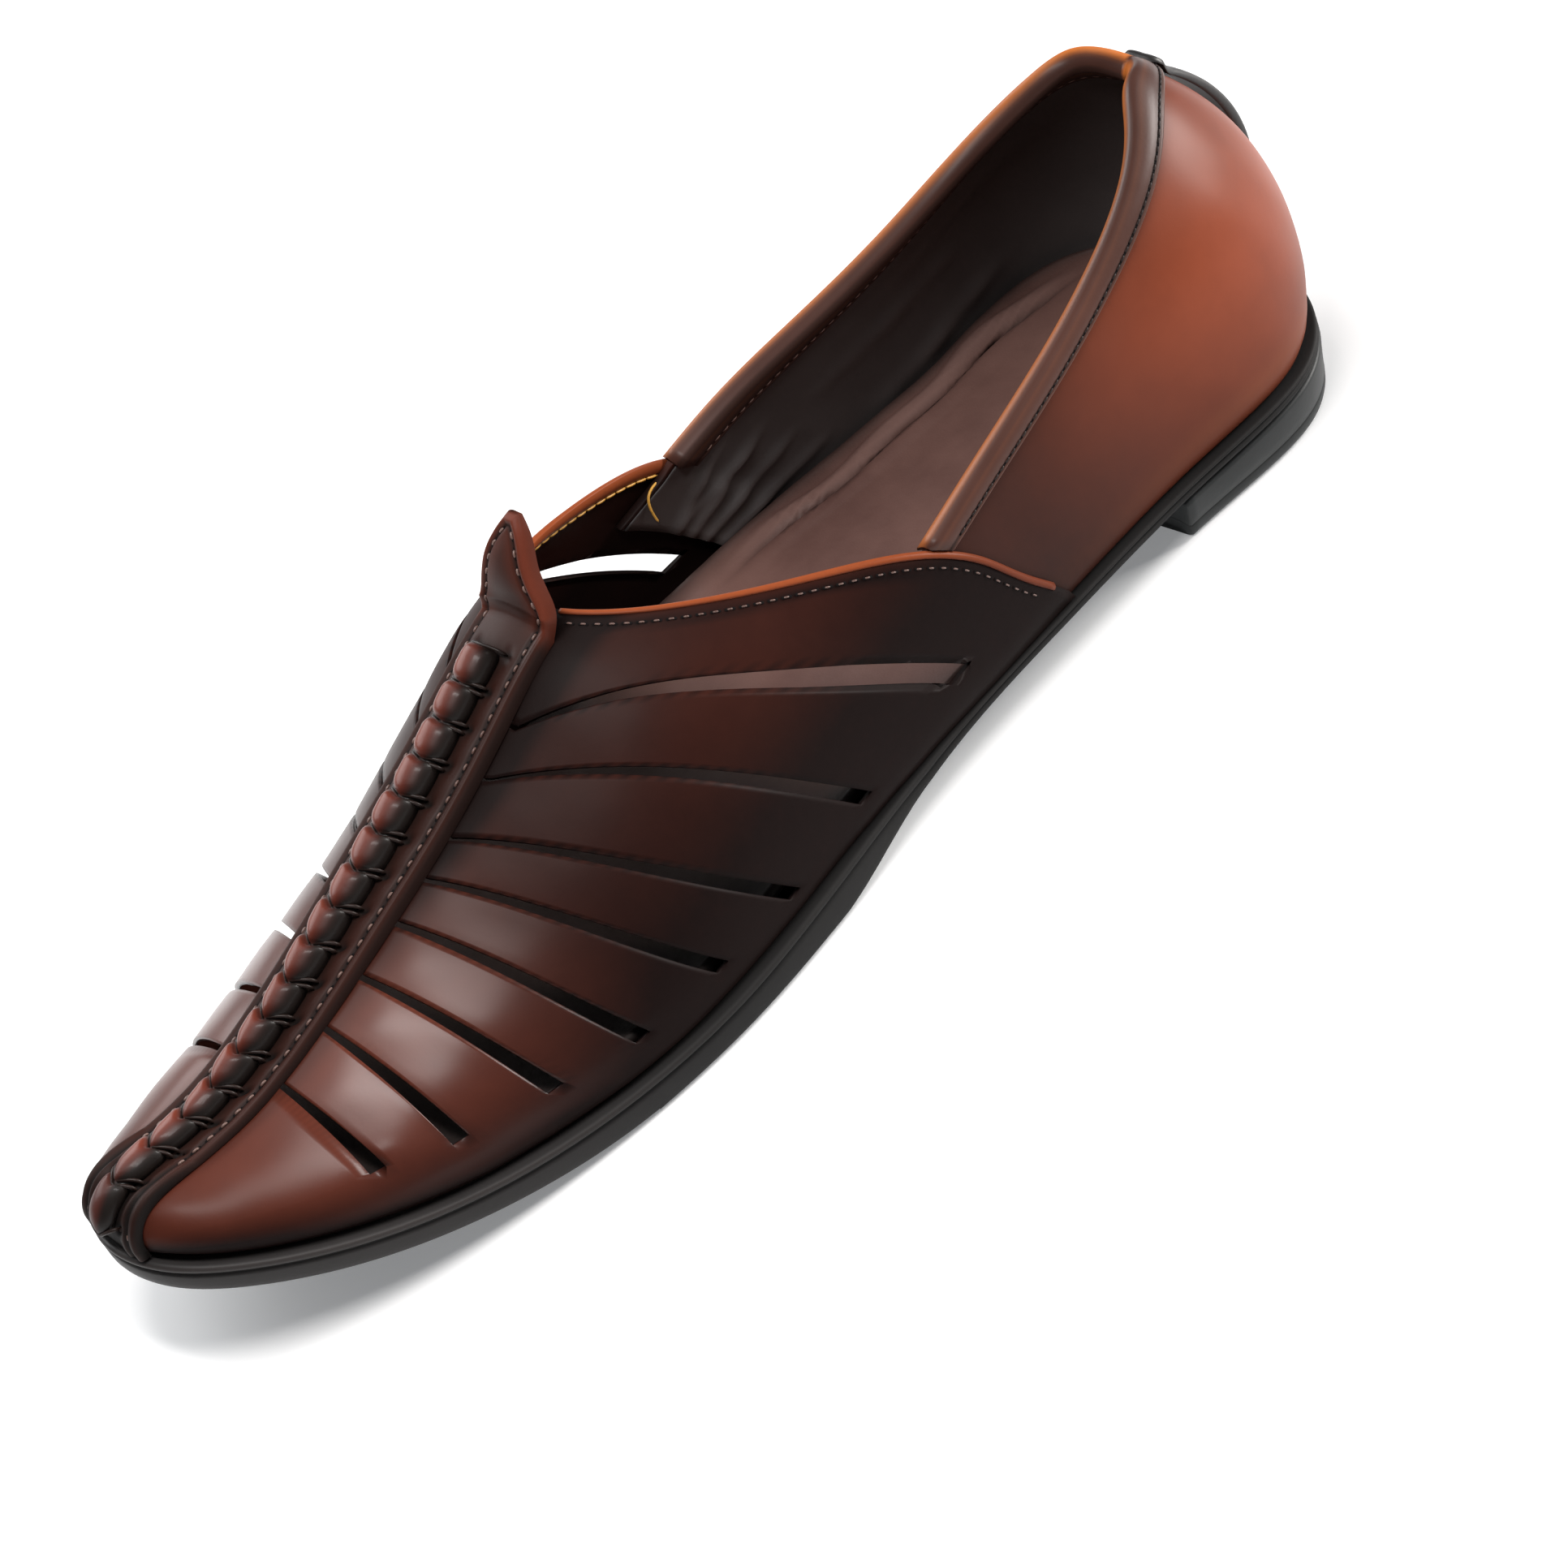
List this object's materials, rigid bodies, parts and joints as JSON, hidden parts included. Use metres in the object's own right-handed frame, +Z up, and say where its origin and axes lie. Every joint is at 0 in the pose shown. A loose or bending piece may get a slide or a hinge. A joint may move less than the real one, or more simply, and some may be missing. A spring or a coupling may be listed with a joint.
{
  "type": "mojari shoe",
  "caption": "Low leather slip-on shoe for a right foot, with slits fanning from a plaited centre strap, a pointed tab over the throat, a thin sole and a low heel.",
  "frame": {"origin": "centre of the bounding box, on the floor under the shoe", "axes": "+X from heel to toe, +Y to the wearer's left (the inner side of this right shoe), +Z up"},
  "size_m": [0.2953, 0.0904, 0.0789],
  "materials": {
    "sole": "satin black moulded sole",
    "heel": "satin black heel block with a grey sheen",
    "sock": "matte brown sock leather",
    "leather": "glossy reddish brown leather",
    "strap_leather": "glossy reddish brown leather with folded edges",
    "braid_leather": "glossy reddish brown plaited leather",
    "binding_leather": "glossy folded leather, orange brown along the fold",
    "black_leather": "semi-matte black leather"
  },
  "bodies": {
    "root": {"outsole": "sole", "heel": "heel", "insole": "sock", "upper": "leather", "centre_strap": "strap_leather", "braid": "braid_leather", "collar_binding": "binding_leather", "back_strip": "black_leather"}
  },
  "joints": []
}
